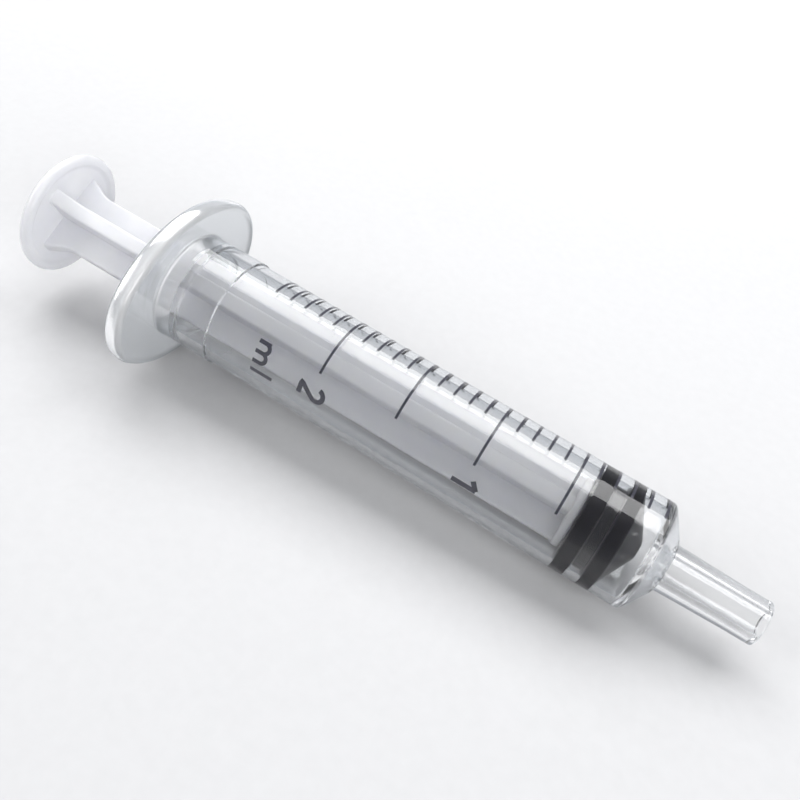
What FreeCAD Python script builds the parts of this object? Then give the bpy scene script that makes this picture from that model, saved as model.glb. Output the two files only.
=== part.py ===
import FreeCAD, Part
import math
import os

import Sketcher

# Oral syringe, 2.5 ml, lying on the flat of its finger flange.
# Millimetres and degrees.  +X runs along the barrel to the nozzle, +Z is up.
# The origin is on the table, under the middle of the syringe.
# Angles round the barrel count from +Z (top) towards -Y.

os.makedirs("parts", exist_ok=True)
doc = FreeCAD.newDocument("OralSyringe")

SIZES = [
    # Barrel.  Its own X starts at the back face of the finger flange.
    ("bore_radius", 4.5, "inside radius of the barrel"),
    ("wall", 0.75, "barrel wall"),
    ("capacity", 2.5, "volume at the last line, in ml"),
    ("back_space", 11.15, "flange back face to the last line"),
    ("zero_gap", 0.15, "floor of the bore to the zero line"),
    ("shoulder_lead", 0.55, "floor of the bore to the start of the coned shoulder"),
    ("shoulder_length", 1.65, "length of the coned shoulder"),
    ("shoulder_radius", 2.75, "outside radius where the shoulder meets the nozzle"),
    ("edge_round", 0.3, "rounding of the shoulder's outer edge"),
    ("collar_length", 7.5, "flange back face to the step of the collar"),
    ("collar_height", 0.15, "how far the collar stands above the barrel"),
    ("nozzle_length", 9.2, "shoulder to nozzle tip"),
    ("nozzle_root_radius", 2.25, "outside radius of the nozzle at its root"),
    ("nozzle_tip_radius", 2.08, "outside radius of the straight end of the nozzle"),
    ("nozzle_land", 2.4, "length of the straight end of the nozzle"),
    ("nozzle_bore_radius", 1.1, "radius of the outlet"),
    ("nozzle_chamfer", 0.15, "chamfer at the nozzle tip"),
    ("floor_cone", 1.9, "depth of the coned floor of the bore"),
    ("bore_entry", 0.35, "chamfer where the plunger goes in"),
    ("bead_place", 3.6, "flange back face to the plunger-retaining bead"),
    ("bead_height", 0.12, "height of the retaining bead"),
    ("bead_ramp", 0.24, "length of the ramp on each side of the bead"),
    # Finger flange: an oval of four arcs.
    ("hub_lip", 0.6, "width of the raised hub round the collar"),
    ("recess_width", 0.7, "width of the recess between hub and rim, at the flat sides"),
    ("flange_rim", 1.4, "width of the raised rim"),
    ("flange_stretch", 2.3, "how much further the ends reach than the flat sides"),
    ("flange_end_trim", 1.5, "how much smaller the ends' radius is than the flat sides' reach"),
    ("flange_thickness", 1.8, "thickness at the rim"),
    ("flange_round", 0.7, "rounding of the rim"),
    ("flange_recess", 0.45, "depth of the recess"),
    # Printed scale.
    ("ink", 0.02, "thickness of the ink"),
    ("line_width", 0.24, "width of a graduation"),
    ("short_step", 0.1, "volume between short graduations, in ml"),
    ("long_step", 0.5, "volume between long graduations, in ml"),
    ("short_sweep", 58.0, "angle a short graduation covers"),
    ("long_sweep", 51.0, "angle a long graduation adds"),
    ("numeral_height", 2.9, "height of a numeral"),
    ("numeral_width", 1.75, "width of the numeral two"),
    ("numeral_stroke", 0.4, "pen width of the numerals"),
    ("numeral_angle", 73.0, "middle of the numerals, round the barrel"),
    ("unit_height", 2.8, "height of the letter l"),
    ("unit_low_height", 1.68, "height of the letter m"),
    ("unit_stroke", 0.34, "pen width of the unit mark"),
    ("unit_pitch", 1.0, "spacing of the upright strokes of the unit mark"),
    ("unit_angle", 69.0, "middle of the unit mark, round the barrel"),
    ("unit_gap", 0.17, "last line to the middle of the unit mark, in ml"),
    # Rubber stopper.  Its own X starts at its back face.
    ("seal_clearance", 0.03, "bore to sealing rib"),
    ("back_rib", 1.6, "length of the back sealing rib"),
    ("groove_length", 1.1, "length of the groove between the ribs"),
    ("groove_depth", 0.45, "depth of that groove"),
    ("front_rib", 1.4, "length of the front sealing rib"),
    ("rib_bevel", 0.15, "bevel on the edges of the ribs"),
    ("nose_radius", 0.9, "radius of the flat on the stopper's nose"),
    ("nose_length", 1.85, "length of the stopper's cone"),
    # Plunger rod.
    ("rib_span", 3.15, "axis to the edge of a rib"),
    ("rib_thickness", 1.5, "thickness of a rib"),
    ("rod_roll", 31.0, "angle of the first rib round the axis"),
    ("gusset_rise", 0.8, "how far a rib flares out at the thumb disc"),
    ("gusset_length", 2.2, "length of that flare"),
    ("thumb_radius", 6.25, "radius of the thumb disc"),
    ("thumb_thickness", 1.0, "thickness of the thumb disc"),
    ("thumb_round", 0.3, "rounding of the thumb disc's edge"),
    ("thumb_dish", 0.2, "depth of the dish in its front face"),
    ("thumb_rim", 0.8, "width of the rim round that dish"),
    ("thumb_slope", 0.4, "width of the slope between rim and dish"),
    ("thumb_gap", 13.0, "thumb disc to flange, with the plunger at rest"),
    ("push_lip", 0.25, "how far the disc that pushes the stopper stands past the ribs"),
    ("push_thickness", 0.8, "thickness of that disc"),
    ("neck_radius", 1.2, "radius of the neck inside the stopper"),
    ("neck_length", 0.9, "length of that neck"),
    ("barb_radius", 2.0, "radius of the barb that holds the stopper"),
    ("barb_length", 1.6, "length of the barb"),
    ("barb_tip_radius", 0.9, "radius of the barb's flat end"),
    ("head_clearance", 0.05, "rod head to the stopper's hollow"),
    ("rest_volume", 0.13, "volume in front of the stopper at rest, in ml"),
]

sheet = doc.addObject("Spreadsheet::Sheet", "Sizes")
for row, (alias, value, note) in enumerate(SIZES, start=1):
    sheet.set(f"A{row}", note)
    sheet.set(f"B{row}", str(value))
    sheet.setAlias(f"B{row}", alias)
doc.recompute()


def size(alias):
    """Value of one cell of the sheet."""
    return float(getattr(sheet, alias))


def total(aliases):
    """Sum of some cells of the sheet."""
    return sum(size(alias) for alias in aliases)


def joined(aliases):
    """The same sum as an expression."""
    return "(" + " + ".join(f"Sizes.{alias}" for alias in aliases) + ")"


# Reaches from the axis, each a sum of sizes.
BARREL = ("bore_radius", "wall")
COLLAR = BARREL + ("collar_height",)
HUB = COLLAR + ("hub_lip",)
FLAT_SIDE = HUB + ("recess_width", "flange_rim")

# Lengths that follow from the sizes, as expressions on the sheet.
OUTER = joined(BARREL)
ML = "(1000 / (pi * Sizes.bore_radius ^ 2))"
BORE_DEPTH = f"(Sizes.back_space + Sizes.capacity * {ML} + Sizes.zero_gap)"
SHOULDER = f"({BORE_DEPTH} + Sizes.shoulder_lead)"
SHOULDER_END = f"({SHOULDER} + Sizes.shoulder_length)"
TIP = f"({SHOULDER_END} + Sizes.nozzle_length)"
ZERO_LINE = f"({BORE_DEPTH} - Sizes.zero_gap)"
SEAL_LENGTH = "(Sizes.back_rib + Sizes.groove_length + Sizes.front_rib)"
STOPPER_BACK = f"({ZERO_LINE} - Sizes.rest_volume * {ML} - {SEAL_LENGTH})"
THUMB_BACK = "(-Sizes.thumb_gap - Sizes.thumb_thickness)"
MIDDLE = f"(({TIP} + {THUMB_BACK}) / 2)"
AXIS_HEIGHT = joined(FLAT_SIDE)


def new_body(label):
    """A body for one piece, named after its file."""
    body = doc.addObject("PartDesign::Body", label)
    body.Label = label
    body.AllowCompound = True
    return body


def origin_feature(body, role):
    """One of the body's own origin planes or axes."""
    return next(item for item in body.Origin.OriginFeatures if item.Role == role)


def new_sketch(body, name, plane):
    """An empty sketch on one of the body's own origin planes."""
    sketch = body.newObject("Sketcher::SketchObject", name)
    sketch.AttachmentSupport = [(origin_feature(body, plane), "")]
    sketch.MapMode = "FlatFace"
    return sketch


def bind(sketch, constraint, expression):
    """Add a constraint whose value follows an expression on the sheet."""
    index = sketch.addConstraint(constraint)
    sketch.setExpression(f"Constraints[{index}]", expression)


def polygon(body, name, plane, corners):
    """A closed sketch whose corners are pairs of expressions on the sheet."""
    sketch = new_sketch(body, name, plane)
    count = len(corners)
    start = [FreeCAD.Vector(math.cos(turn), math.sin(turn), 0)
             for turn in (2 * math.pi * index / count for index in range(count))]
    for index in range(count):
        sketch.addGeometry(Part.LineSegment(start[index], start[(index + 1) % count]), False)
    for index in range(count):
        following = (index + 1) % count
        sketch.addConstraint(Sketcher.Constraint("Coincident", index, 2, following, 1))
    for index, (across, up) in enumerate(corners):
        point = start[index]
        bind(sketch, Sketcher.Constraint("DistanceX", -1, 1, index, 1, point.x), across)
        bind(sketch, Sketcher.Constraint("DistanceY", -1, 1, index, 1, point.y), up)
    return sketch


def add_oval(sketch, inset):
    """Outline of the flange: two ends on the Y axis and two flatter sides, all tangent arcs.

    inset names the sizes that the outline lies inside the flange's edge.
    """
    short = total(FLAT_SIDE) - total(inset)
    end = short - size("flange_end_trim")
    centre = size("flange_stretch") + size("flange_end_trim")
    side = ((centre + end) ** 2 + short ** 2 - 2 * (centre + end) * end) / (2 * (short - end))
    lean = math.atan2(side - short, centre)
    first = sketch.GeometryCount
    arcs = [(centre, 0, end, -lean, lean),
            (0, short - side, side, lean, math.pi - lean),
            (-centre, 0, end, math.pi - lean, math.pi + lean),
            (0, side - short, side, math.pi + lean, 2 * math.pi - lean)]
    for across, up, radius, begin, stop in arcs:
        circle = Part.Circle(FreeCAD.Vector(across, up, 0), FreeCAD.Vector(0, 0, 1), radius)
        sketch.addGeometry(Part.ArcOfCircle(circle, begin, stop), False)
    for index in range(4):
        following = first + (index + 1) % 4
        sketch.addConstraint(Sketcher.Constraint("Tangent", first + index, 2, following, 1))
    short_expr = f"({joined(FLAT_SIDE)} - {joined(inset)})" if inset else joined(FLAT_SIDE)
    end_expr = f"({short_expr} - Sizes.flange_end_trim)"
    centre_expr = joined(("flange_stretch", "flange_end_trim"))
    long_expr = f"({centre_expr} + {end_expr})"
    side_expr = (f"({long_expr} ^ 2 + {short_expr} ^ 2 - 2 * {long_expr} * {end_expr})"
                 f" / (2 * ({short_expr} - {end_expr}))")
    for index, sign in ((first, 1), (first + 2, -1)):
        sketch.addConstraint(Sketcher.Constraint("PointOnObject", index, 3, -1))
        bind(sketch, Sketcher.Constraint("DistanceX", -1, 1, index, 3, sign * centre),
             f"{sign} * {centre_expr}")
        bind(sketch, Sketcher.Constraint("Radius", index, end), end_expr)
    for index in (first + 1, first + 3):
        bind(sketch, Sketcher.Constraint("Radius", index, side), side_expr)


def turn_profile(body, kind, name, sketch, angle=None):
    """Revolve a sketch about the body's X axis, to add or to cut."""
    feature = body.newObject(f"PartDesign::{kind}", name)
    feature.Profile = sketch
    feature.ReferenceAxis = (origin_feature(body, "X_Axis"), [""])
    feature.Angle = 360
    if angle:
        feature.setExpression("Angle", angle)
    return feature


def place(body, along, roll="0"):
    """Put a body on the syringe's axis, at a distance from the flange's back face."""
    body.setExpression("Placement.Base.x", f"{along} - {MIDDLE}")
    body.setExpression("Placement.Base.z", AXIS_HEIGHT)
    body.setExpression("Placement.Rotation.Axis.x", "1")
    body.setExpression("Placement.Rotation.Axis.y", "0")
    body.setExpression("Placement.Rotation.Axis.z", "0")
    body.setExpression("Placement.Rotation.Angle", roll)


def make_barrel():
    """Barrel, flange, collar, shoulder and nozzle: one clear moulding."""
    body = new_body("barrel")
    collar = joined(COLLAR)
    outside = polygon(body, "barrel_outside", "XZ_Plane", [
        ("0", "0"),
        ("0", collar),
        ("Sizes.collar_length", collar),
        ("Sizes.collar_length", OUTER),
        (f"{SHOULDER} - Sizes.edge_round", OUTER),
        (SHOULDER, f"{OUTER} - Sizes.edge_round"),
        (SHOULDER_END, "Sizes.shoulder_radius"),
        (SHOULDER_END, "Sizes.nozzle_root_radius"),
        (f"{TIP} - Sizes.nozzle_land", "Sizes.nozzle_tip_radius"),
        (f"{TIP} - Sizes.nozzle_chamfer", "Sizes.nozzle_tip_radius"),
        (TIP, "Sizes.nozzle_tip_radius - Sizes.nozzle_chamfer"),
        (TIP, "0"),
    ])
    turn_profile(body, "Revolution", "barrel_body", outside)

    outline = new_sketch(body, "flange_outline", "YZ_Plane")
    add_oval(outline, ())
    plate = body.newObject("PartDesign::Pad", "flange_plate")
    plate.Profile = outline
    plate.setExpression("Length", "Sizes.flange_thickness")
    doc.recompute()

    edges = rim_edges(plate.Shape, (0, size("flange_thickness")))
    rim = body.newObject("PartDesign::Fillet", "flange_rounding")
    rim.Base = (plate, edges)
    rim.setExpression("Radius", "Sizes.flange_round")

    floor = new_sketch(body, "flange_recess_outline", "YZ_Plane")
    floor.setExpression("AttachmentOffset.Base.z", "Sizes.flange_thickness")
    add_oval(floor, ("flange_rim",))
    hub = Part.Circle(FreeCAD.Vector(0, 0, 0), FreeCAD.Vector(0, 0, 1), total(HUB))
    ring = floor.addGeometry(hub, False)
    floor.addConstraint(Sketcher.Constraint("Coincident", ring, 3, -1, 1))
    bind(floor, Sketcher.Constraint("Radius", ring, total(HUB)), joined(HUB))
    recess = body.newObject("PartDesign::Pocket", "flange_recess")
    recess.Profile = floor
    recess.setExpression("Length", "Sizes.flange_recess")

    bead = "Sizes.bead_place"
    past_tip = f"({TIP} + Sizes.nozzle_chamfer)"
    # The first slanting line is the 45 degree entry chamfer, carried on past the flange's back.
    inside = polygon(body, "bore_profile", "XZ_Plane", [
        ("-Sizes.bore_entry", "0"),
        ("-Sizes.bore_entry", "Sizes.bore_radius + 2 * Sizes.bore_entry"),
        ("Sizes.bore_entry", "Sizes.bore_radius"),
        (f"{bead} - Sizes.bead_ramp", "Sizes.bore_radius"),
        (bead, "Sizes.bore_radius - Sizes.bead_height"),
        (f"{bead} + Sizes.bead_ramp", "Sizes.bore_radius"),
        (BORE_DEPTH, "Sizes.bore_radius"),
        (f"{BORE_DEPTH} + Sizes.floor_cone", "Sizes.nozzle_bore_radius"),
        (past_tip, "Sizes.nozzle_bore_radius"),
        (past_tip, "0"),
    ])
    turn_profile(body, "Groove", "bore", inside)
    place(body, "0")
    return body


def rim_edges(shape, levels):
    """Names of the edges of the flange's outline, at the given places along X."""
    names = []
    reach = total(COLLAR)
    for index, edge in enumerate(shape.Edges, start=1):
        box = edge.BoundBox
        flat = box.XLength < 1e-6 and min(abs(box.XMin - level) for level in levels) < 1e-6
        far = max(math.hypot(point.Point.y, point.Point.z) for point in edge.Vertexes)
        if flat and far > reach + 1e-3:
            names.append(f"Edge{index}")
    return names


def make_stopper():
    """Black rubber stopper: two sealing ribs, a coned nose and a hollow for the rod's head."""
    body = new_body("stopper")
    seal = "(Sizes.bore_radius - Sizes.seal_clearance)"
    groove = f"({seal} - Sizes.groove_depth)"
    bevel = "Sizes.rib_bevel"
    second = "(Sizes.back_rib + Sizes.groove_length)"
    gap = "Sizes.head_clearance"
    barb_start = "Sizes.neck_length"
    hollow_end = f"({barb_start} + Sizes.barb_length + {gap})"
    profile = polygon(body, "stopper_profile", "XZ_Plane", [
        ("0", f"Sizes.neck_radius + {gap}"),
        ("0", f"{seal} - {bevel}"),
        (bevel, seal),
        (f"Sizes.back_rib - {bevel}", seal),
        ("Sizes.back_rib", groove),
        (second, groove),
        (f"{second} + {bevel}", seal),
        (f"{SEAL_LENGTH} - {bevel}", seal),
        (SEAL_LENGTH, f"{seal} - {bevel}"),
        (f"{SEAL_LENGTH} + Sizes.nose_length", "Sizes.nose_radius"),
        (f"{SEAL_LENGTH} + Sizes.nose_length", "0"),
        (hollow_end, "0"),
        (hollow_end, f"Sizes.barb_tip_radius + {gap}"),
        (barb_start, f"Sizes.barb_radius + {gap}"),
        (f"{barb_start} - {gap}", f"Sizes.barb_radius + {gap}"),
        (f"{barb_start} - {gap}", f"Sizes.neck_radius + {gap}"),
    ])
    turn_profile(body, "Revolution", "stopper_body", profile)
    place(body, STOPPER_BACK)
    return body


def make_plunger_rod():
    """Cross-shaped rod with its thumb disc, push disc and barb: one milky moulding."""
    body = new_body("plunger_rod")
    front = "Sizes.thumb_thickness"
    length = f"({STOPPER_BACK} - {THUMB_BACK})"
    push_front = f"({length} - Sizes.head_clearance)"
    push_back = f"({push_front} - Sizes.push_thickness)"
    flare = "(Sizes.rib_span + Sizes.gusset_rise)"
    # The ribs run from the middle of the thumb disc to the middle of the push disc.
    rib_start = f"({front} / 2)"
    rib_end = f"({push_back} + Sizes.push_thickness / 2)"
    fin = polygon(body, "rib_outline", "XZ_Plane", [
        (rib_start, f"-{flare}"),
        (front, f"-{flare}"),
        (f"{front} + Sizes.gusset_length", "-Sizes.rib_span"),
        (rib_end, "-Sizes.rib_span"),
        (rib_end, "Sizes.rib_span"),
        (f"{front} + Sizes.gusset_length", "Sizes.rib_span"),
        (front, flare),
        (rib_start, flare),
    ])
    plate = body.newObject("PartDesign::Pad", "rib_pair")
    plate.Profile = fin
    plate.Midplane = True
    plate.setExpression("Length", "Sizes.rib_thickness")

    cross = body.newObject("PartDesign::PolarPattern", "rib_cross")
    cross.Originals = [plate]
    cross.Axis = (origin_feature(body, "X_Axis"), [""])
    cross.Angle = 90
    cross.Occurrences = 2
    body.Tip = cross
    doc.recompute()

    thumb = polygon(body, "thumb_profile", "XZ_Plane", [
        ("0", "0"),
        ("0", "Sizes.thumb_radius - Sizes.thumb_round"),
        ("Sizes.thumb_round", "Sizes.thumb_radius"),
        (f"{front} - Sizes.thumb_round", "Sizes.thumb_radius"),
        (front, "Sizes.thumb_radius - Sizes.thumb_round"),
        (front, "Sizes.thumb_radius - Sizes.thumb_rim"),
        (f"{front} - Sizes.thumb_dish",
         "Sizes.thumb_radius - Sizes.thumb_rim - Sizes.thumb_slope"),
        (f"{front} - Sizes.thumb_dish", "0"),
    ])
    turn_profile(body, "Revolution", "thumb_disc", thumb)

    neck_end = f"({length} + Sizes.neck_length)"
    head = polygon(body, "head_profile", "XZ_Plane", [
        (push_back, "0"),
        (push_back, joined(("rib_span", "push_lip"))),
        (push_front, joined(("rib_span", "push_lip"))),
        (push_front, "Sizes.neck_radius"),
        (neck_end, "Sizes.neck_radius"),
        (neck_end, "Sizes.barb_radius"),
        (f"{neck_end} + Sizes.barb_length", "Sizes.barb_tip_radius"),
        (f"{neck_end} + Sizes.barb_length", "0"),
    ])
    turn_profile(body, "Revolution", "rod_head", head)
    place(body, THUMB_BACK, "Sizes.rod_roll")
    return body


def make_graduations(label, first, step, count, start, sweep):
    """Equal ink lines round part of the barrel, one solid each.

    first is the volume of the first line and step the volume between lines, both expressions.
    """
    body = new_body(label)
    half = "Sizes.line_width / 2"
    section = polygon(body, f"{label}_section", "XZ_Plane", [
        (f"-{half}", OUTER),
        (half, OUTER),
        (half, f"{OUTER} + Sizes.ink"),
        (f"-{half}", f"{OUTER} + Sizes.ink"),
    ])
    line = turn_profile(body, "Revolution", f"{label}_line", section, sweep)
    repeat = body.newObject("PartDesign::LinearPattern", f"{label}_row")
    repeat.Originals = [line]
    repeat.Direction = (origin_feature(body, "X_Axis"), [""])
    repeat.Reversed = True
    repeat.Occurrences = count
    repeat.setExpression("Length", f"{count - 1} * {step} * {ML}")
    body.Tip = repeat
    place(body, f"{ZERO_LINE} - {first} * {ML}", start)
    return body


def stroke(begin, end, width):
    """A straight pen stroke, as a flat face with square ends."""
    along = FreeCAD.Vector(end[0] - begin[0], end[1] - begin[1], 0)
    side = FreeCAD.Vector(-along.y, along.x, 0).normalize() * (width / 2)
    start = FreeCAD.Vector(begin[0], begin[1], 0)
    corners = [start - side, start + along - side, start + along + side, start + side]
    return Part.Face(Part.makePolygon(corners + corners[:1]))


def bow(centre, radius, width, begin, end):
    """A curved pen stroke: part of a ring, from one angle to another."""
    middle = FreeCAD.Vector(centre[0], centre[1], 0)
    up = FreeCAD.Vector(0, 0, 1)
    edges = []
    for reach in (radius + width / 2, radius - width / 2):
        edges.append(Part.makeCircle(reach, middle, up, begin, end))
    for index in (0, 1):
        edges.append(Part.makeLine(edges[0].Vertexes[index].Point, edges[1].Vertexes[index].Point))
    return Part.Face(Part.Wire(Part.__sortEdges__(edges)))


# The hook of the 2, in degrees: from where the slanting leg leaves it to its free end.
HOOK_START = -40
HOOK_END = 170


def numeral_two():
    """Strokes of a 2 that stands on the origin: a hook, a slanting leg and a foot."""
    tall = size("numeral_height")
    wide = size("numeral_width")
    pen = size("numeral_stroke")
    radius = (wide - pen) / 2
    crown = tall - pen / 2 - radius
    drop = math.radians(HOOK_START)
    knee = (radius * math.cos(drop), crown + radius * math.sin(drop))
    return [bow((0, crown), radius, pen, HOOK_START, HOOK_END),
            stroke(knee, (-radius, pen / 2), pen),
            stroke((-wide / 2, pen / 2), (wide / 2, pen / 2), pen)]


def numeral_one():
    """Strokes of a 1 that stands on the origin: an upright and a flag."""
    tall = size("numeral_height")
    pen = size("numeral_stroke")
    reach = size("numeral_width") / 2
    return [stroke((0, 0), (0, tall), pen),
            stroke((-reach, tall - reach), (0, tall - pen / 2), pen)]


def unit_letters():
    """Strokes of the unit mark ml, centred on the origin."""
    tall = size("unit_height")
    pen = size("unit_stroke")
    pitch = size("unit_pitch")
    left = -1.5 * pitch  # four uprights stand three pitches wide, with the middle at zero
    radius = pitch / 2
    crown = size("unit_low_height") - pen / 2 - radius
    strokes = [stroke((left, 0), (left, crown + radius + pen / 2), pen)]
    for leg in (1, 2):
        foot = left + leg * pitch
        strokes.append(bow((foot - radius, crown), radius, pen, 0, 180))
        strokes.append(stroke((foot, 0), (foot, crown), pen))
    strokes.append(stroke((left + 3 * pitch, 0), (left + 3 * pitch, tall), pen))
    return strokes


def print_on_barrel(faces, along, lift):
    """Wrap flat strokes on the top of the barrel.

    Reading direction is -Y and up is +X.  along is the place on the axis, and lift
    moves the strokes down their own height, so that they are centred there.
    """
    outer = total(BARREL)
    axis = FreeCAD.Vector(1, 0, 0)
    start = FreeCAD.Vector(along - lift, 0, 0)
    skin = Part.makeCylinder(outer + size("ink"), 2 * lift, start, axis)
    skin = skin.cut(Part.makeCylinder(outer, 2 * lift, start, axis))
    stand = FreeCAD.Matrix()
    stand.A = (0, 1, 0, along - lift, -1, 0, 0, 0, 0, 0, 1, 0, 0, 0, 0, 1)
    prisms = []
    for face in faces:
        prism = face.extrude(FreeCAD.Vector(0, 0, 2 * outer))
        prisms.append(prism.transformGeometry(stand))
    joined = prisms[0].multiFuse(prisms[1:]) if len(prisms) > 1 else prisms[0]
    return joined.common(skin)


def add_print(label, pieces, angle):
    """A node of printed glyphs: each piece is its strokes, volume on the scale and height."""
    per_ml = 1000 / (math.pi * size("bore_radius") ** 2)
    shapes = []
    for faces, volume, tall in pieces:
        shapes.append(print_on_barrel(faces, -volume * per_ml, tall / 2))
    glyphs = doc.addObject("Part::Feature", label)
    glyphs.Label = label
    glyphs.Shape = Part.makeCompound(sum((shape.Solids for shape in shapes), []))
    place(glyphs, ZERO_LINE, angle)
    return glyphs


short_count = round(size("capacity") / size("short_step")) + 1
long_count = math.ceil(size("capacity") / size("long_step")) - 1
numeral_height = size("numeral_height")

parts = [
    make_barrel(),
    make_stopper(),
    make_plunger_rod(),
    make_graduations("short_graduations", "0", "Sizes.short_step", short_count,
                     "-Sizes.short_sweep", "Sizes.short_sweep"),
    make_graduations("long_graduations", "Sizes.long_step", "Sizes.long_step", long_count,
                     "0", "Sizes.long_sweep"),
    add_print("numerals", [(numeral_one(), 1, numeral_height),
                           (numeral_two(), 2, numeral_height)], "Sizes.numeral_angle"),
    add_print("unit_mark", [(unit_letters(), size("capacity") - size("unit_gap"),
                             size("unit_height"))], "Sizes.unit_angle"),
]
doc.recompute()

for item in doc.Objects:
    if "Invalid" in item.State or "Error" in item.State:
        raise RuntimeError(f"{item.Name} did not build: {item.State}")
for piece in parts:
    if piece.Shape.isNull() or not piece.Shape.isValid() or not piece.Shape.Solids:
        raise RuntimeError(f"{piece.Label} has no valid solid")

for piece in parts:
    piece.Shape.exportStep(f"parts/{piece.Label}.step")
    box = piece.Shape.BoundBox
    print(f"{piece.Label}: {len(piece.Shape.Solids)} solid(s), {piece.Shape.Volume:.3f} mm3,"
          f" x {box.XMin:.2f} to {box.XMax:.2f}, y {box.YMin:.2f} to {box.YMax:.2f},"
          f" z {box.ZMin:.2f} to {box.ZMax:.2f}")
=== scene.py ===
import math

import bpy
from mathutils import Matrix, Vector


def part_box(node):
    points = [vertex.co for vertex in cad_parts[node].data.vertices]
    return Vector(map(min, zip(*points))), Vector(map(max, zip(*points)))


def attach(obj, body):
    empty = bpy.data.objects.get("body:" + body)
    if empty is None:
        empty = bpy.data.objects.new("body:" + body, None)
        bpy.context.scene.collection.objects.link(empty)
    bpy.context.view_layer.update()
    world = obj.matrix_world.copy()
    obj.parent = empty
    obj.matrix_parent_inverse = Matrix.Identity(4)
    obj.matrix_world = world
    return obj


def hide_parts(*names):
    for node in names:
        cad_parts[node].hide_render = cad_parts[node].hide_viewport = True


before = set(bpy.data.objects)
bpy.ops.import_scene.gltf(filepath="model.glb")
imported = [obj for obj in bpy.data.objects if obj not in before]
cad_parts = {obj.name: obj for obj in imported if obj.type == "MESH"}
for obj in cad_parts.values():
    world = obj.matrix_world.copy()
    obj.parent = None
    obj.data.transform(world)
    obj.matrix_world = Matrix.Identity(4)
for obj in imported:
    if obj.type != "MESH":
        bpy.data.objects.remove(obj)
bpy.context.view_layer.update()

MM = 0.001  # the frame is in metres, and every size below is in millimetres

# Where the pieces are, read from the frame.
BARREL_LOW, BARREL_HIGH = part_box("barrel")
ROD_LOW, ROD_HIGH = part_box("plunger_rod")
STOPPER_LOW, STOPPER_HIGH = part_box("stopper")
AXIS = (BARREL_LOW[2] + BARREL_HIGH[2]) / 2  # height of the syringe's axis
FLANGE_BACK = BARREL_LOW[0] / MM
NOZZLE_TIP = BARREL_HIGH[0] / MM
THUMB_BACK = ROD_LOW[0] / MM
ROD_TIP = ROD_HIGH[0] / MM
STOPPER_BACK = STOPPER_LOW[0] / MM
NOSE_TIP = STOPPER_HIGH[0] / MM

# Barrel, along the axis from the flange's back face and out from the axis.
BORE = 4.5
OUTER = BORE + 0.75
COLLAR = OUTER + 0.15
HUB = COLLAR + 0.6
COLLAR_END = FLANGE_BACK + 7.5
COLLAR_STEP = 0.12
BEAD = FLANGE_BACK + 3.6
BEAD_HEIGHT = 0.12
BEAD_RAMP = 0.4
BORE_ENTRY = 0.35
BORE_FLOOR = FLANGE_BACK + 50.6
FLOOR_CONE = 1.9
SHOULDER = BORE_FLOOR + 0.55
SHOULDER_END = SHOULDER + 1.65
SHOULDER_SMALL = 2.75
NOZZLE = 2.08
NOZZLE_ROOT = 2.25
NOZZLE_LAND = 2.4
OUTLET = 1.1
PAST_END = 1.0  # how far the cutter for the bore runs out of the barrel at each end

# Finger flange: an oval of four arcs, two on centres out along Y and two flatter ones.
PLATE = 1.8
FLAT_SIDE = 8.1
END_RADIUS = FLAT_SIDE - 1.5
END_CENTRE = 3.8
RIM_ROUND = 0.7
RIM_WIDTH = 0.5
RECESS = 0.45
RECESS_TAPER = (1, 0.965, 0.955)  # the recess's floor is a little smaller than its mouth

# Scale
ML = 1000 / (math.pi * BORE ** 2)
ZERO = BORE_FLOOR - 0.15
INK_LOW = OUTER - 0.006  # a print keys into the plastic's skin
INK_HIGH = OUTER + 0.016
LINE_WIDTH = 0.24
NUMERAL_HEIGHT = 2.9
NUMERAL_WIDTH = 1.75
NUMERAL_PEN = 0.5
NUMERAL_ANGLE = 73
HOOK_START = 170  # the hook of the 2, in degrees
HOOK_END = -40
UNIT_HEIGHT = 2.8
UNIT_LOW_HEIGHT = 0.6 * UNIT_HEIGHT
UNIT_PITCH = 1.0
UNIT_PEN = 0.42
UNIT_ANGLE = 69
UNIT_PLACE = 2.33  # in ml

# Stopper
SEAL_SQUEEZE = 0.006  # the rubber wets the bore, so the seals reach just into the plastic
GROOVE = BORE - 0.03 - 0.45
BACK_RIB_END = STOPPER_BACK + 1.6
FRONT_RIB = BACK_RIB_END + 1.1
SEAL_END = FRONT_RIB + 1.4
NOSE = 0.9
HEAD_GAP = 0.05  # rod to stopper

# Plunger rod
ROD_ROLL = math.radians(31)
RIB_SPAN = 3.15
RIB_THICKNESS = 1.5
THUMB = 6.25
THUMB_THICKNESS = 1.0
THUMB_RIM = 0.75
DISH = 0.22
FLARE_RISE = 1.1
FLARE_LENGTH = 2.0
PUSH_FRONT = STOPPER_BACK - HEAD_GAP
PUSH_THICKNESS = 0.8
PUSH = RIB_SPAN + 0.25
NECK = 1.2
NECK_END = STOPPER_BACK + 0.9
BARB = 2.0
BARB_TIP = 0.9
BARB_LENGTH = 1.6


def nothing_selected():
    """Leave edit mode and deselect every object."""
    if bpy.context.object and bpy.context.object.mode != "OBJECT":
        bpy.ops.object.mode_set(mode="OBJECT")
    bpy.ops.object.select_all(action="DESELECT")


def pick(piece):
    """Make one piece the selected and active object."""
    nothing_selected()
    piece.select_set(True)
    bpy.context.view_layer.objects.active = piece


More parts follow.
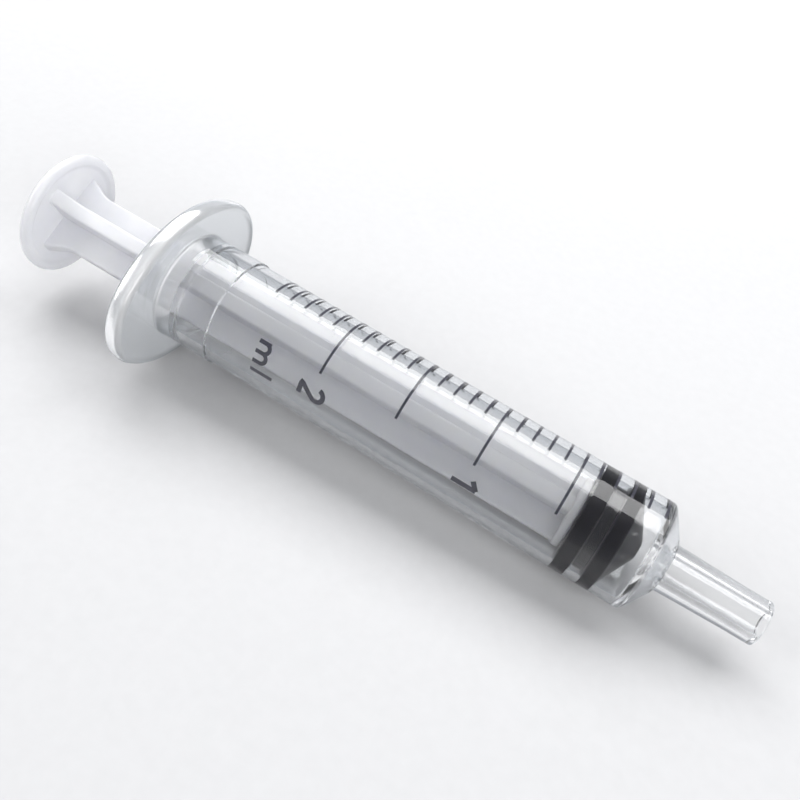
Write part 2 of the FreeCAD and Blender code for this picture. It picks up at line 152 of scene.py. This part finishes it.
def rounded(points, radii, steps=5):
    """Replace corners of an outline with arcs: radii gives a radius for each corner's number."""
    made = []
    for index, point in enumerate(points):
        radius = radii.get(index, 0)
        if not radius:
            made.append(point)
            continue
        corner = Vector(point)
        back = (Vector(points[index - 1]) - corner).normalized()
        ahead = (Vector(points[(index + 1) % len(points)]) - corner).normalized()
        half = back.angle(ahead) / 2
        centre = corner + (back + ahead).normalized() * (radius / math.sin(half))
        start = corner + back * (radius / math.tan(half)) - centre
        stop = corner + ahead * (radius / math.tan(half)) - centre
        for step in range(steps + 1):
            mix = start.lerp(stop, step / steps)
            made.append(tuple(centre + mix.normalized() * radius))
    return made


def start_point(name, place):
    """A new object with one vertex, selected in edit mode."""
    nothing_selected()
    bpy.ops.mesh.primitive_plane_add(size=MM, location=place)
    piece = bpy.context.object
    piece.name = name
    bpy.ops.object.transform_apply(location=True, rotation=True, scale=True)
    bpy.ops.object.mode_set(mode="EDIT")
    bpy.ops.mesh.select_all(action="SELECT")
    bpy.ops.mesh.merge(type="CENTER")
    return piece


def draw(points):
    """Extrude the selected vertex along the steps between points."""
    for here, there in zip(points, points[1:]):
        step = Vector(there) - Vector(here)
        bpy.ops.mesh.extrude_vertices_move(TRANSFORM_OT_translate={"value": step})


def on_axis(x, out):
    """A place above the syringe's axis, in metres."""
    return Vector((x * MM, 0, AXIS + out * MM))


def finish_edit():
    """Merge doubles, point the faces outwards and leave edit mode."""
    bpy.ops.mesh.select_all(action="SELECT")
    bpy.ops.mesh.remove_doubles(threshold=2e-7)
    bpy.ops.mesh.normals_make_consistent(inside=False)
    bpy.ops.object.mode_set(mode="OBJECT")


def sweep(angle, steps, across=0.0, up=0.0):
    """Spin what is selected about a line along X, from +Z towards -Y, in steps."""
    middle = (0, across * MM, AXIS + up * MM)
    bpy.ops.mesh.spin(steps=steps, angle=angle, center=middle, axis=(-1, 0, 0))


def turned(name, outline, steps=160):
    """Turn an outline of (place along the axis, radius) round the axis, as on a lathe."""
    spots = [on_axis(x, out) for x, out in outline]
    piece = start_point(name, spots[0])
    draw(spots)
    bpy.ops.mesh.select_all(action="SELECT")
    sweep(2 * math.pi, steps)
    finish_edit()
    return piece


def combine(piece, tool, operation):
    """Join a tool to a piece, or cut it out, and remove the tool."""
    pick(piece)
    modifier = piece.modifiers.new("combine", "BOOLEAN")
    modifier.operation = operation
    modifier.object = tool
    modifier.solver = "EXACT"
    bpy.ops.object.modifier_apply(modifier="combine")
    bpy.data.objects.remove(tool, do_unlink=True)


def roll(piece, angle):
    """Roll a piece about the syringe's axis."""
    pick(piece)
    bpy.ops.transform.rotate(value=angle, orient_axis="X", orient_type="GLOBAL",
                             center_override=(0, 0, AXIS))
    bpy.ops.object.transform_apply(location=True, rotation=True, scale=True)


def soften_edges(piece, angle):
    """Round the edges that are sharper than an angle, as a mould leaves them."""
    pick(piece)
    bevel = piece.modifiers.new("round", "BEVEL")
    bevel.width = 0.22 * MM
    bevel.segments = 3
    bevel.limit_method = "ANGLE"
    bevel.angle_limit = math.radians(angle)
    bpy.ops.object.modifier_apply(modifier="round")


def smooth(piece, angle=32):
    """Shade smooth up to an angle, and keep the flat faces flat."""
    pick(piece)
    bpy.ops.object.shade_smooth_by_angle(angle=math.radians(angle))
    piece.modifiers.new("weights", "WEIGHTED_NORMAL").keep_sharp = True
    bpy.ops.object.modifier_apply(modifier="weights")


def dress(piece, material):
    """Give a piece its only material."""
    piece.data.materials.clear()
    piece.data.materials.append(material)


def fit_in(piece, node, body):
    """Hide the CAD node that a piece replaces, and put the piece under its body."""
    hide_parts(node)
    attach(piece, body)


# ---------------------------------------------------------------- materials


def colour(code, alpha=1.0):
    """An sRGB hex colour as linear light."""
    made = []
    for index in (0, 2, 4):
        value = int(code[index:index + 2], 16) / 255
        made.append(value / 12.92 if value <= 0.04045 else ((value + 0.055) / 1.055) ** 2.4)
    return (*made, alpha)


def add(tree, kind, settings=None, inputs=None):
    """Add a shader node, set it and feed it from other nodes' outputs or plain values."""
    made = tree.nodes.new(kind)
    for name, value in (settings or {}).items():
        setattr(made, name, value)
    for name, value in (inputs or {}).items():
        if isinstance(value, bpy.types.NodeSocket):
            tree.links.new(value, made.inputs[name])
        else:
            made.inputs[name].default_value = value
    return made


def new_material(name):
    """An empty material with its output node and object coordinates."""
    material = bpy.data.materials.new(name)
    material.use_nodes = True
    tree = material.node_tree
    tree.nodes.clear()
    place = add(tree, "ShaderNodeTexCoord").outputs["Object"]
    return material, tree, place, add(tree, "ShaderNodeOutputMaterial")


def clear_polypropylene(name, through):
    """Clear injection-moulded polypropylene: glassy, with the slow waviness of the mould's flow.

    It gives the eye sharp highlights along the barrel and bent, blue-grey edges.  IOR 1.49 and
    a polished roughness under 0.13 are usual for it.  through is the share of light that the
    plastic doesn't scatter: thick parts cool slowly and turn a little milky.
    """
    material, tree, place, out = new_material(name)
    # Flow marks run along the barrel, about 2 mm apart across it and 10 mm long.
    drawn = add(tree, "ShaderNodeMapping", inputs={"Vector": place, "Scale": (100, 500, 500)})
    flow = add(tree, "ShaderNodeTexNoise",
               inputs={"Vector": drawn.outputs[0], "Scale": 1.0, "Detail": 2.0})
    # Patches of finer and rougher skin, about 1.5 mm across.
    skin = add(tree, "ShaderNodeTexNoise", inputs={"Vector": place, "Scale": 650.0, "Detail": 3.0})
    rough = add(tree, "ShaderNodeMath", {"operation": "MULTIPLY_ADD"},
                {0: skin.outputs["Fac"], 1: 0.15, 2: -0.025})
    bump = add(tree, "ShaderNodeBump",
               inputs={"Height": flow.outputs["Fac"], "Distance": 0.00001, "Strength": 1.0})
    # Painted shade: where the surface is seen edge-on, the base colour turns blue-grey, standing in
    # for the darker surroundings that the edges show.
    painted_edge_shade = add(tree, "ShaderNodeLayerWeight", inputs={"Blend": 0.3})
    tint = add(tree, "ShaderNodeMix", {"data_type": "RGBA"}, {"Factor": painted_edge_shade.outputs["Facing"]})
    tint.inputs[6].default_value = colour("fefefe")
    tint.inputs[7].default_value = colour("9ba8b3")
    surface = add(tree, "ShaderNodeBsdfPrincipled",
                  inputs={"Base Color": tint.outputs[2], "Transmission Weight": through,
                          "IOR": 1.49, "Roughness": rough.outputs[0],
                          "Normal": bump.outputs[0]})
    tree.links.new(surface.outputs[0], out.inputs["Surface"])
    return material


def milky_polypropylene():
    """Natural polypropylene, moulded: milky, with a satin skin.

    It gives the eye a soft glow, because light goes in, scatters over about 1.5 mm and comes
    out blurred.  IOR 1.49 and roughness 0.3 to 0.5 are usual for it.
    """
    material, tree, place, out = new_material("milky_polypropylene")
    # Cloudy density changes, about 3 mm across.
    cloud = add(tree, "ShaderNodeTexNoise", inputs={"Vector": place, "Scale": 330.0, "Detail": 3.0})
    tint = add(tree, "ShaderNodeMix", {"data_type": "RGBA"},
               {"Factor": cloud.outputs["Fac"]})
    tint.inputs[6].default_value = colour("dfe0e4")
    tint.inputs[7].default_value = colour("f2f2f4")
    # Fine moulded texture, drawn at 0.3 mm so that it shows.
    grain = add(tree, "ShaderNodeTexNoise", inputs={"Vector": place, "Scale": 3300.0, "Detail": 2.0})
    rough = add(tree, "ShaderNodeMath", {"operation": "MULTIPLY_ADD"},
                {0: cloud.outputs["Fac"], 1: 0.2, 2: 0.28})
    bump = add(tree, "ShaderNodeBump",
               inputs={"Height": grain.outputs["Fac"], "Distance": 0.000008, "Strength": 0.6})
    surface = add(tree, "ShaderNodeBsdfPrincipled",
                  inputs={"Base Color": tint.outputs[2], "Roughness": rough.outputs[0],
                          "IOR": 1.49, "Transmission Weight": 0.45,
                          "Subsurface Weight": 0.7, "Subsurface Radius": (1.0, 1.0, 1.1),
                          "Subsurface Scale": 0.0015, "Normal": bump.outputs[0]})
    tree.links.new(surface.outputs[0], out.inputs["Surface"])
    return material


def black_rubber():
    """Black butyl rubber, moulded and lubricated with silicone oil.

    It gives the eye a deep, slightly violet black with a soft sheen and a faint grain.  IOR
    1.52 is usual for it.  The specular level is low where the oil fills the gap to the bore.
    """
    material, tree, place, out = new_material("black_butyl_rubber")
    mottle = add(tree, "ShaderNodeTexNoise", inputs={"Vector": place, "Scale": 500.0, "Detail": 4.0})
    # Mottle of about 2 mm, with grain down to 0.2 mm.
    tint = add(tree, "ShaderNodeMix", {"data_type": "RGBA"}, {"Factor": mottle.outputs["Fac"]})
    tint.inputs[6].default_value = colour("06050b")
    tint.inputs[7].default_value = colour("110e1a")
    rough = add(tree, "ShaderNodeMath", {"operation": "MULTIPLY_ADD"},
                {0: mottle.outputs["Fac"], 1: 0.1, 2: 0.27})
    bump = add(tree, "ShaderNodeBump",
               inputs={"Height": mottle.outputs["Fac"], "Distance": 0.00002, "Strength": 0.5})
    surface = add(tree, "ShaderNodeBsdfPrincipled",
                  inputs={"Base Color": tint.outputs[2], "Roughness": rough.outputs[0],
                          "IOR": 1.52, "Specular IOR Level": 0.12, "Normal": bump.outputs[0]})
    tree.links.new(surface.outputs[0], out.inputs["Surface"])
    return material


def printing_ink():
    """Black pad-printing ink on the barrel's skin.

    It gives the eye a thin charcoal film with the plastic's gloss, a little uneven where the
    film is thin.  IOR 1.5 is usual for it.
    """
    material, tree, place, out = new_material("black_printing_ink")
    # Patches of thinner film, about 0.4 mm across.
    film = add(tree, "ShaderNodeTexNoise", inputs={"Vector": place, "Scale": 2500.0, "Detail": 2.0})
    tint = add(tree, "ShaderNodeMix", {"data_type": "RGBA"}, {"Factor": film.outputs["Fac"]})
    tint.inputs[6].default_value = colour("26262c")
    tint.inputs[7].default_value = colour("45454e")
    rough = add(tree, "ShaderNodeMath", {"operation": "MULTIPLY_ADD"},
                {0: film.outputs["Fac"], 1: 0.14, 2: 0.08})
    surface = add(tree, "ShaderNodeBsdfPrincipled",
                  inputs={"Base Color": tint.outputs[2], "Roughness": rough.outputs[0],
                          "IOR": 1.5})
    tree.links.new(surface.outputs[0], out.inputs["Surface"])
    return material


def studio_paper():
    """Pale seamless paper under the syringe: matt, with a faint tooth about 1 mm across."""
    material, tree, place, out = new_material("studio_paper")
    tooth = add(tree, "ShaderNodeTexNoise", inputs={"Vector": place, "Scale": 900.0, "Detail": 2.0})
    tint = add(tree, "ShaderNodeMix", {"data_type": "RGBA"}, {"Factor": tooth.outputs["Fac"]})
    tint.inputs[6].default_value = colour("b5b5b6")
    tint.inputs[7].default_value = colour("bababb")
    surface = add(tree, "ShaderNodeBsdfPrincipled",
                  inputs={"Base Color": tint.outputs[2], "Roughness": 0.9,
                          "Specular IOR Level": 0.2})
    tree.links.new(surface.outputs[0], out.inputs["Surface"])
    return material


# Most of the barrel is thin and clear.  The flange is thick, so it is hazier.
CLEAR = clear_polypropylene("clear_polypropylene", 0.995)
HAZY = clear_polypropylene("hazy_polypropylene", 0.7)
MILKY = milky_polypropylene()
RUBBER = black_rubber()
INK = printing_ink()
PAPER = studio_paper()


# ------------------------------------------------------------------- barrel


def flange_plate():
    """The oval finger plate, with rounded edges and a recess in its front."""
    reach = END_CENTRE + END_RADIUS
    side = ((reach ** 2 + FLAT_SIDE ** 2 - 2 * reach * END_RADIUS)
            / (2 * (FLAT_SIDE - END_RADIUS)))  # radius of the flatter arcs
    lean = math.atan2(side - FLAT_SIDE, END_CENTRE)  # where the arcs meet, seen from an end's centre
    start = Vector((FLANGE_BACK * MM, (END_CENTRE + END_RADIUS * math.cos(lean)) * MM,
                    AXIS - END_RADIUS * math.sin(lean) * MM))
    plate = start_point("flange_plate", start)
    sweep(2 * lean, 40, END_CENTRE)
    sweep(math.pi - 2 * lean, 64, 0, FLAT_SIDE - side)
    sweep(2 * lean, 40, -END_CENTRE)
    sweep(math.pi - 2 * lean, 64, 0, side - FLAT_SIDE)
    bpy.ops.mesh.select_all(action="SELECT")
    bpy.ops.mesh.remove_doubles(threshold=2e-6)
    bpy.ops.mesh.edge_face_add()
    bpy.ops.mesh.extrude_region_move(TRANSFORM_OT_translate={"value": (PLATE * MM, 0, 0)})
    finish_edit()
    for edge in plate.data.edges:
        ends = [plate.data.vertices[index].co.x for index in edge.vertices]
        edge.select = abs(ends[0] - ends[1]) < 1e-6
    bpy.ops.object.mode_set(mode="EDIT")
    bpy.ops.mesh.select_mode(type="EDGE")
    bpy.ops.mesh.bevel(offset=RIM_ROUND * MM, segments=7, affect="EDGES")
    bpy.ops.object.mode_set(mode="OBJECT")
    for face in plate.data.polygons:
        face.select = face.normal.x > 0.99 and len(face.vertices) > 50
    bpy.ops.object.mode_set(mode="EDIT")
    bpy.ops.mesh.select_mode(type="FACE")
    bpy.ops.mesh.inset(thickness=RIM_WIDTH * MM, depth=0)
    bpy.ops.mesh.extrude_region_move(TRANSFORM_OT_translate={"value": (-RECESS * MM, 0, 0)})
    bpy.ops.transform.resize(value=RECESS_TAPER, center_override=(0, 0, AXIS))
    bpy.ops.mesh.select_mode(type="VERT")
    finish_edit()
    soften_edges(plate, 40)
    return plate


def make_barrel():
    """Flange, collar, barrel, shoulder and nozzle: one clear moulding with an open bore."""
    front = FLANGE_BACK + PLATE
    hub_back = FLANGE_BACK + PLATE / 3
    outside = rounded(
        [(hub_back, 0), (hub_back, HUB), (front, HUB), (front, COLLAR), (COLLAR_END, COLLAR),
         (COLLAR_END + COLLAR_STEP, OUTER), (SHOULDER, OUTER), (SHOULDER_END, SHOULDER_SMALL),
         (SHOULDER_END, NOZZLE_ROOT), (NOZZLE_TIP - NOZZLE_LAND, NOZZLE), (NOZZLE_TIP, NOZZLE),
         (NOZZLE_TIP, 0)],
        {2: 0.2, 3: 0.22, 4: 0.08, 6: 0.55, 7: 0.16, 8: 0.2, 10: 0.15})
    barrel = turned("barrel_clear", outside)
    combine(barrel, flange_plate(), "UNION")
    # The bore's mouth is a 45 degree chamfer, carried on past the flange's back.
    mouth = BORE + BORE_ENTRY + PAST_END
    inside = rounded(
        [(FLANGE_BACK - PAST_END, 0), (FLANGE_BACK - PAST_END, mouth),
         (FLANGE_BACK + BORE_ENTRY, BORE), (BEAD - BEAD_RAMP, BORE), (BEAD, BORE - BEAD_HEIGHT),
         (BEAD + BEAD_RAMP, BORE), (BORE_FLOOR, BORE), (BORE_FLOOR + FLOOR_CONE, OUTLET),
         (NOZZLE_TIP + PAST_END, OUTLET), (NOZZLE_TIP + PAST_END, 0)],
        {2: 0.3, 3: 0.5, 4: 0.5, 5: 0.5, 6: 0.3, 7: 0.3})
    combine(barrel, turned("bore", inside), "DIFFERENCE")
    smooth(barrel)
    dress(barrel, CLEAR)
    barrel.data.materials.append(HAZY)
    for face in barrel.data.polygons:
        if face.center.x < (front + 0.2) * MM:
            face.material_index = 1
    fit_in(barrel, "barrel", "barrel")


# ------------------------------------------------------------------ stopper


def make_stopper():
    """Rubber stopper: two ribs pressed against the bore, a groove and a coned nose."""
    back = STOPPER_BACK
    press = BORE + SEAL_SQUEEZE
    neck = NECK + HEAD_GAP
    barb_back = NECK_END - HEAD_GAP
    barb_end = NECK_END + BARB_LENGTH + HEAD_GAP
    outline = rounded(
        [(back, neck), (back, press), (BACK_RIB_END, press), (BACK_RIB_END, GROOVE),
         (FRONT_RIB, GROOVE), (FRONT_RIB, press), (SEAL_END, press), (NOSE_TIP, NOSE),
         (NOSE_TIP, 0), (barb_end, 0), (barb_end, BARB_TIP + HEAD_GAP),
         (NECK_END, BARB + HEAD_GAP), (barb_back, neck)],
        {1: 0.16, 2: 0.16, 3: 0.12, 4: 0.12, 5: 0.16, 6: 0.2, 7: 0.3})
    stopper = turned("stopper_rubber", outline + outline[:1], 144)
    smooth(stopper)
    dress(stopper, RUBBER)
    fit_in(stopper, "stopper", "piston")


# -------------------------------------------------------------- plunger rod


def rib_pair():
    """Two opposite ribs in one plate, flared where they meet the thumb disc."""
    front = THUMB_BACK + THUMB_THICKNESS
    flare = RIB_SPAN + FLARE_RISE
    inside_push = PUSH_FRONT - PUSH_THICKNESS / 2
    upper = rounded([(THUMB_BACK + 0.3, flare), (THUMB_BACK + 0.72, flare),
                     (front + FLARE_LENGTH, RIB_SPAN), (inside_push, RIB_SPAN)], {2: 3.5})
    outline = upper + [(x, -out) for x, out in reversed(upper)]
    spots = [on_axis(x, out) for x, out in outline]
    pair = start_point("rib_pair", spots[0])
    draw(spots + spots[:1])
    bpy.ops.mesh.select_all(action="SELECT")
    bpy.ops.mesh.remove_doubles(threshold=2e-6)
    bpy.ops.mesh.edge_face_add()
    bpy.ops.transform.translate(value=(0, -RIB_THICKNESS / 2 * MM, 0))
    bpy.ops.mesh.extrude_region_move(
        TRANSFORM_OT_translate={"value": (0, RIB_THICKNESS * MM, 0)})
    finish_edit()
    soften_edges(pair, 50)
    return pair


def make_plunger_rod():
    """Cross-shaped rod, thumb disc, push disc and barbed head: one milky moulding."""
    rod = rib_pair()
    other = rod.copy()
    other.data = rod.data.copy()
    bpy.context.collection.objects.link(other)
    roll(other, math.pi / 2)
    combine(rod, other, "UNION")
    roll(rod, -ROD_ROLL)
    back = THUMB_BACK
    front = back + THUMB_THICKNESS
    disc = rounded(
        [(back, 0), (back, THUMB), (front, THUMB), (front, THUMB - THUMB_RIM),
         (front - DISH, THUMB - THUMB_RIM - 0.4), (front - DISH - 0.04, 0)],
        {1: 0.42, 2: 0.42, 3: 0.4, 4: 0.6})
    combine(rod, turned("thumb_disc", disc, 128), "UNION")
    barb_end = NECK_END + BARB_LENGTH
    head = rounded(
        [(PUSH_FRONT - PUSH_THICKNESS, 0), (PUSH_FRONT - PUSH_THICKNESS, PUSH),
         (PUSH_FRONT, PUSH), (PUSH_FRONT, NECK), (NECK_END, NECK), (NECK_END, BARB),
         (barb_end, BARB_TIP), (barb_end, 0)],
        {1: 0.2, 2: 0.2, 3: 0.1, 5: 0.12, 6: 0.15})
    combine(rod, turned("rod_head", head, 96), "UNION")
    smooth(rod, 35)
    dress(rod, MILKY)
    rod.name = "plunger_milky"
    fit_in(rod, "plunger_rod", "plunger")


# --------------------------------------------------------------------- ink


def ring_of_ink(name, along, start, reach, steps):
    """One printed line: a thin strip round the barrel, from start through reach degrees."""
    half = LINE_WIDTH / 2
    corners = [(along - half, INK_LOW), (along + half, INK_LOW),
               (along + half, INK_HIGH), (along - half, INK_HIGH)]
    spots = [on_axis(x, out) for x, out in corners]
    line = start_point(name, spots[0])
    draw(spots + spots[:1])
    bpy.ops.mesh.select_all(action="SELECT")
    bpy.ops.mesh.remove_doubles(threshold=2e-7)
    sweep(math.radians(reach), steps)
    bpy.ops.mesh.select_all(action="DESELECT")
    bpy.ops.mesh.select_mode(type="EDGE")
    bpy.ops.mesh.select_non_manifold()
    bpy.ops.mesh.fill_holes(sides=0)
    bpy.ops.mesh.select_mode(type="VERT")
    finish_edit()
    middle = Matrix.Translation((0, 0, AXIS))
    turn = Matrix.Rotation(math.radians(start), 4, "X")
    line.data.transform(middle @ turn @ middle.inverted())
    return line


def make_lines(name, node, first, step, count, start, reach):
    """A row of equal printed lines towards the flange.  first and step are in ml."""
    along = ZERO - first * ML
    lines = ring_of_ink(name, along, start, reach, 40)
    pick(lines)
    row = lines.modifiers.new("row", "ARRAY")
    row.count = count
    row.use_relative_offset = False
    row.use_constant_offset = True
    row.constant_offset_displace = (-step * ML * MM, 0, 0)
    bpy.ops.object.modifier_apply(modifier="row")
    smooth(lines)
    dress(lines, INK)
    fit_in(lines, node, "barrel")


def bow(across, up, radius, begin, end):
    """Points of a curved pen stroke, from one angle to another."""
    steps = max(6, round(abs(end - begin) / 9))
    made = []
    for step in range(steps + 1):
        angle = math.radians(begin + (end - begin) * step / steps)
        made.append((across + radius * math.cos(angle), up + radius * math.sin(angle)))
    return made


def straight(begin, end):
    """Points of a straight pen stroke, a fifth of a millimetre apart."""
    steps = max(2, round(math.dist(begin, end) / 0.2))
    return [tuple(Vector(begin).lerp(Vector(end), step / steps)) for step in range(steps + 1)]


def pen_stroke(points, width):
    """A flat rounded stroke of ink.  Across is +Z and up is +X; the print faces -Y."""
    spots = [Vector((up * MM, 0, across * MM)) for across, up in points]
    piece = start_point("stroke", spots[0])
    draw(spots)
    bpy.ops.object.mode_set(mode="OBJECT")
    pick(piece)
    bpy.ops.object.convert(target="CURVE")
    piece = bpy.context.object
    piece.data.dimensions = "3D"
    piece.data.bevel_depth = width / 2 * MM
    piece.data.bevel_resolution = 3
    piece.data.use_fill_caps = True
    bpy.ops.object.convert(target="MESH")
    piece = bpy.context.object
    bpy.ops.object.mode_set(mode="EDIT")
    bpy.ops.mesh.select_all(action="SELECT")
    bpy.ops.transform.resize(value=(1, 2 * (INK_HIGH - OUTER) / width, 1),
                             center_override=(0, 0, 0))
    bpy.ops.object.mode_set(mode="OBJECT")
    return piece


def glyph(strokes, width, along, angle):
    """Pen strokes joined, bent round the barrel and put in their place.

    The strokes are drawn flat, with the skin of the barrel at y = 0.  Bending turns the height
    above the middle of the glyph, along Z, into an angle round the barrel.
    """
    made = [pen_stroke(points, width) for points in strokes]
    pick(made[0])
    for piece in made[1:]:
        piece.select_set(True)
    if len(made) > 1:
        bpy.ops.object.join()
    piece = bpy.context.object
    bpy.ops.object.mode_set(mode="EDIT")
    finish_edit()
    radius = OUTER * MM
    for vertex in piece.data.vertices:
        turn = vertex.co.z / radius
        out = radius - vertex.co.y
        vertex.co.y = -out * math.sin(turn)
        vertex.co.z = out * math.cos(turn)
    spin = Matrix.Rotation(math.radians(angle), 4, "X")
    piece.data.transform(Matrix.Translation((along * MM, 0, AXIS)) @ spin)
    return piece


def make_print(name, node, glyphs):
    """Join glyphs into one piece of print."""
    pick(glyphs[0])
    for piece in glyphs[1:]:
        piece.select_set(True)
    if len(glyphs) > 1:
        bpy.ops.object.join()
    piece = bpy.context.object
    piece.name = name
    smooth(piece, 60)
    dress(piece, INK)
    fit_in(piece, node, "barrel")


def make_numerals():
    """The numbers 1 and 2, which stand across the barrel beside their lines."""
    pen = NUMERAL_PEN
    half = NUMERAL_WIDTH / 2
    foot = -NUMERAL_HEIGHT / 2 + pen / 2
    top = NUMERAL_HEIGHT / 2 - pen / 2
    radius = half - pen / 2
    crown = top - radius
    drop = math.radians(HOOK_END)
    knee = (radius * math.cos(drop), crown + radius * math.sin(drop))
    heel = (-radius, foot)
    two = [bow(0, crown, radius, HOOK_START, HOOK_END) + straight(knee, heel)[1:]
           + straight(heel, (radius, foot))[1:]]
    one = [straight((0, foot), (0, top)),
           straight((0, top), (0.1 - half, NUMERAL_HEIGHT / 2 - half + 0.05))]
    make_print("printed_numerals", "numerals",
               [glyph(one, pen, ZERO - ML, NUMERAL_ANGLE),
                glyph(two, pen, ZERO - 2 * ML, NUMERAL_ANGLE)])


def make_unit():
    """The unit mark ml near the end of the scale."""
    pen = UNIT_PEN
    pitch = UNIT_PITCH
    foot = -UNIT_HEIGHT / 2 + pen / 2
    top = UNIT_HEIGHT / 2 - pen / 2
    left = -1.5 * pitch  # four uprights stand three pitches wide, with the middle at zero
    radius = pitch / 2
    crown = -UNIT_HEIGHT / 2 + UNIT_LOW_HEIGHT - pen / 2 - radius
    strokes = [straight((left, foot), (left, crown + radius))]
    for leg in (0, 1):
        near = left + leg * pitch
        strokes.append(bow(near + radius, crown, radius, 180, 0)
                       + straight((near + pitch, crown), (near + pitch, foot))[1:])
    strokes.append(straight((left + 3 * pitch, foot), (left + 3 * pitch, top)))
    make_print("printed_unit", "unit_mark",
               [glyph(strokes, pen, ZERO - UNIT_PLACE * ML, UNIT_ANGLE)])


make_barrel()
make_stopper()
make_plunger_rod()
make_lines("short_lines", "short_graduations", 0, 0.1, 26, -58, 58)
make_lines("long_lines", "long_graduations", 0.5, 0.5, 4, 0, 51)
make_numerals()
make_unit()


# ------------------------------------------------------------------- studio


def area_light(name, place, target, size, power):
    """A rectangular soft box that faces the target; size is along X and across."""
    data = bpy.data.lights.new(name, "AREA")
    data.shape = "RECTANGLE"
    data.size, data.size_y = size
    data.energy = power
    light = bpy.data.objects.new(name, data)
    bpy.context.collection.objects.link(light)
    light.visible_camera = False
    back = (Vector(place) - Vector(target)).normalized()
    across = back.cross(Vector((1, 0, 0))).normalized()
    along = across.cross(back)
    turn = Matrix((along, across, back)).transposed().to_4x4()
    light.matrix_world = Matrix.Translation(place) @ turn


def sun_light(name, place, power):
    """A broad even light from the direction of place, as bright far off as near."""
    data = bpy.data.lights.new(name, "SUN")
    data.energy = power
    data.angle = math.radians(40)
    light = bpy.data.objects.new(name, data)
    bpy.context.collection.objects.link(light)
    light.rotation_euler = Vector(place).to_track_quat("Z", "Y").to_euler()


def make_floor():
    """Pale paper, tipped so that the flange and the barrel's shoulder both rest on it."""
    nothing_selected()
    bpy.ops.mesh.primitive_plane_add(size=6.0)
    floor = bpy.context.object
    floor.name = "studio_floor"
    rise = (AXIS - OUTER * MM) / ((SHOULDER - FLANGE_BACK - PLATE / 2) * MM)
    contact = (FLANGE_BACK + PLATE / 2) * MM
    clear = -0.02 * MM  # so that the paper and the flange don't share a surface
    tip = Matrix.Translation((contact, 0, clear)) @ Matrix.Rotation(-math.atan(rise), 4, "Y")
    floor.data.transform(tip)
    dress(floor, PAPER)


def make_world():
    """Soft studio surround: pale round the horizon, greyer overhead."""
    world = bpy.data.worlds.new("studio")
    bpy.context.scene.world = world
    world.use_nodes = True
    tree = world.node_tree
    tree.nodes.clear()
    way = add(tree, "ShaderNodeTexCoord").outputs["Generated"]
    parts = add(tree, "ShaderNodeSeparateXYZ", inputs={"Vector": way})
    ramp = add(tree, "ShaderNodeValToRGB", inputs={"Fac": parts.outputs["Z"]})
    ramp.color_ramp.elements[0].position = 0.0
    ramp.color_ramp.elements[0].color = colour("b4b6ba")
    ramp.color_ramp.elements[1].position = 0.55
    ramp.color_ramp.elements[1].color = colour("75777b")
    sky = add(tree, "ShaderNodeBackground", inputs={"Color": ramp.outputs[0], "Strength": 1.2})
    out = add(tree, "ShaderNodeOutputWorld")
    tree.links.new(sky.outputs[0], out.inputs["Surface"])


def make_camera():
    """A close camera above the nozzle end, looking down along the barrel, and rolled."""
    place = Vector((0.01665, -0.05279, 0.06799))
    target = Vector((0.00126, 0.00103, AXIS))
    look = (target - place).normalized()
    data = bpy.data.cameras.new("camera")
    data.lens = 39.57
    data.sensor_width = 36.0
    data.clip_start = 0.001
    data.clip_end = 20.0
    camera = bpy.data.objects.new("camera", data)
    bpy.context.collection.objects.link(camera)
    aim = look.to_track_quat("-Z", "Y").to_matrix().to_4x4()
    tilt = Matrix.Rotation(math.radians(-18.81), 4, look)
    camera.matrix_world = Matrix.Translation(place) @ tilt @ aim
    bpy.context.scene.camera = camera


make_floor()
make_world()
area_light("back_softbox", (-0.08, 0.18, 0.36), (0, 0, AXIS), (0.62, 0.30), 3.1)
sun_light("nozzle_end_light", (0.70, -0.50, 0.50), 2.0)
sun_light("thumb_end_light", (-0.75, -0.45, 0.48), 1.5)
make_camera()
bpy.context.scene.view_settings.view_transform = "Standard"
# A ray crosses the barrel's two walls, the rod and the walls again, so it needs many bounces.
bpy.context.scene.cycles.max_bounces = 24
bpy.context.scene.cycles.glossy_bounces = 16
bpy.context.scene.cycles.transmission_bounces = 24
